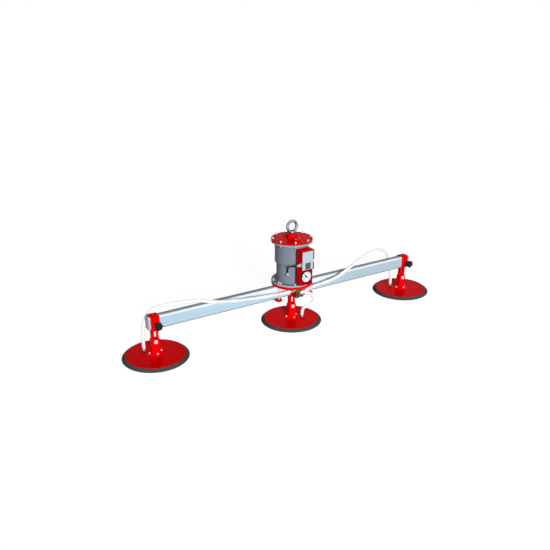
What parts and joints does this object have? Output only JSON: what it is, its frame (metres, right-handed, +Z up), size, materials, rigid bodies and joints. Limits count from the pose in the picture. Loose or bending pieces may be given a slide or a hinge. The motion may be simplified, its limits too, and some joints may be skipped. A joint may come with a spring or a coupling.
{
  "type": "mechanical vacuum lifter",
  "caption": "Load beam with round suction cups on sliding holders, hung under a self-priming piston vacuum cylinder with a valve box, gauge, hoses and a lifting eye.",
  "frame": {"origin": "on the ground plane under the suction cups, on the axis of the vacuum cylinder", "axes": "+X along the beam, -Y towards the valve box and gauge, +Z up through the lifting eye"},
  "size_m": [2.318, 0.4, 0.6915],
  "materials": {
    "red_paint": "gloss red enamel",
    "grey_paint": "smooth blue-grey paint",
    "aluminium": "satin extruded profile",
    "front_plate": "pale blue-grey powder coat",
    "cap_grey": "moulded grey",
    "rubber": "matte dark rubber",
    "zinc_steel": "white zinc plated",
    "eye_steel": "drop forged, zinc plated",
    "brass": "machined",
    "black_plastic": "fine grain",
    "dial_white": "printed dial",
    "clear_hose": "translucent reinforced hose"
  },
  "bodies": {
    "frame": {"middle_saddle": "red_paint", "base_plate": "red_paint", "cylinder_lid": "red_paint", "rod_guide": "red_paint", "valve_housing": "red_paint", "clamp_plate_left": "red_paint", "clamp_plate_right": "red_paint", "lower_flange": "grey_paint", "upper_flange": "grey_paint", "cylinder_barrel": "grey_paint", "cylinder_jacket": "grey_paint", "beam": "aluminium", "valve_block": "aluminium", "valve_front_plate": "front_plate", "beam_cap_left": "cap_grey", "beam_cap_right": "cap_grey", "clamp_rod_left_front": "zinc_steel", "clamp_rod_left_rear": "zinc_steel", "clamp_rod_right_front": "zinc_steel", "clamp_rod_right_rear": "zinc_steel", "valve_fitting": "zinc_steel", "barrel_elbow": "zinc_steel", "guide_bush": "brass", "manifold": "brass", "manifold_barb_left": "brass", "manifold_barb_right": "brass", "manifold_barb_middle": "brass", "gauge_case": "black_plastic", "pilot_hose": "black_plastic", "gauge_dial": "dial_white", "hose_left_run": "clear_hose", "hose_right_run": "clear_hose"},
    "lifting_rod": {"piston": "zinc_steel", "piston_seal": "rubber", "piston_rod": "zinc_steel", "lifting_eye": "eye_steel"},
    "left_holder": {"left_sleeve": "red_paint"},
    "right_holder": {"right_sleeve": "red_paint"},
    "left_clamp_knob": {"left_knob": "black_plastic"},
    "right_clamp_knob": {"right_knob": "black_plastic"},
    "left_cup": {"left_cup_seal": "rubber", "left_cup_disc": "red_paint", "left_cup_bracket": "red_paint", "left_cross_bolt": "zinc_steel", "left_hose_nipple": "brass", "hose_left_drop": "clear_hose"},
    "middle_cup": {"middle_cup_seal": "rubber", "middle_cup_disc": "red_paint", "middle_cup_bracket": "red_paint", "middle_cross_bolt": "zinc_steel", "middle_hose_nipple": "brass", "hose_middle": "clear_hose"},
    "right_cup": {"right_cup_seal": "rubber", "right_cup_disc": "red_paint", "right_cup_bracket": "red_paint", "right_cross_bolt": "zinc_steel", "right_hose_nipple": "brass", "hose_right_drop": "clear_hose"},
    "needle": {"gauge_needle": "black_plastic"}
  },
  "joints": [
    {"name": "rod_lift", "type": "slide", "parent": "frame", "child": "lifting_rod", "axis": [0, 0, 1], "range_m": [0, 0.24]},
    {"name": "left_holder_slide", "type": "slide", "parent": "frame", "child": "left_holder", "axis": [1, 0, 0], "range_m": [-0.012, 0.5], "deforming": ["hose_left_run"]},
    {"name": "right_holder_slide", "type": "slide", "parent": "frame", "child": "right_holder", "axis": [-1, 0, 0], "range_m": [-0.012, 0.5], "deforming": ["hose_right_run"]},
    {"name": "left_knob_turn", "type": "hinge", "parent": "left_holder", "child": "left_clamp_knob", "pos_m": [-0.959, 0, 0.2272], "axis": [0, -1, 0], "range_deg": [0, 360]},
    {"name": "right_knob_turn", "type": "hinge", "parent": "right_holder", "child": "right_clamp_knob", "pos_m": [0.959, 0, 0.2272], "axis": [0, -1, 0], "range_deg": [0, 360]},
    {"name": "left_cup_height", "type": "slide", "parent": "left_holder", "child": "left_cup", "axis": [0, 0, 1], "range_m": [0, 0.06], "deforming": ["hose_left_drop"]},
    {"name": "middle_cup_height", "type": "slide", "parent": "frame", "child": "middle_cup", "axis": [0, 0, 1], "range_m": [0, 0.06], "deforming": ["hose_middle"]},
    {"name": "right_cup_height", "type": "slide", "parent": "right_holder", "child": "right_cup", "axis": [0, 0, 1], "range_m": [0, 0.06], "deforming": ["hose_right_drop"]},
    {"name": "gauge_needle_turn", "type": "hinge", "parent": "frame", "child": "needle", "pos_m": [-0.005, -0.17, 0.3664], "axis": [0, -1, 0], "range_deg": [-180, 90], "stiffness_Nm_per_rad": 0.0005}
  ]
}
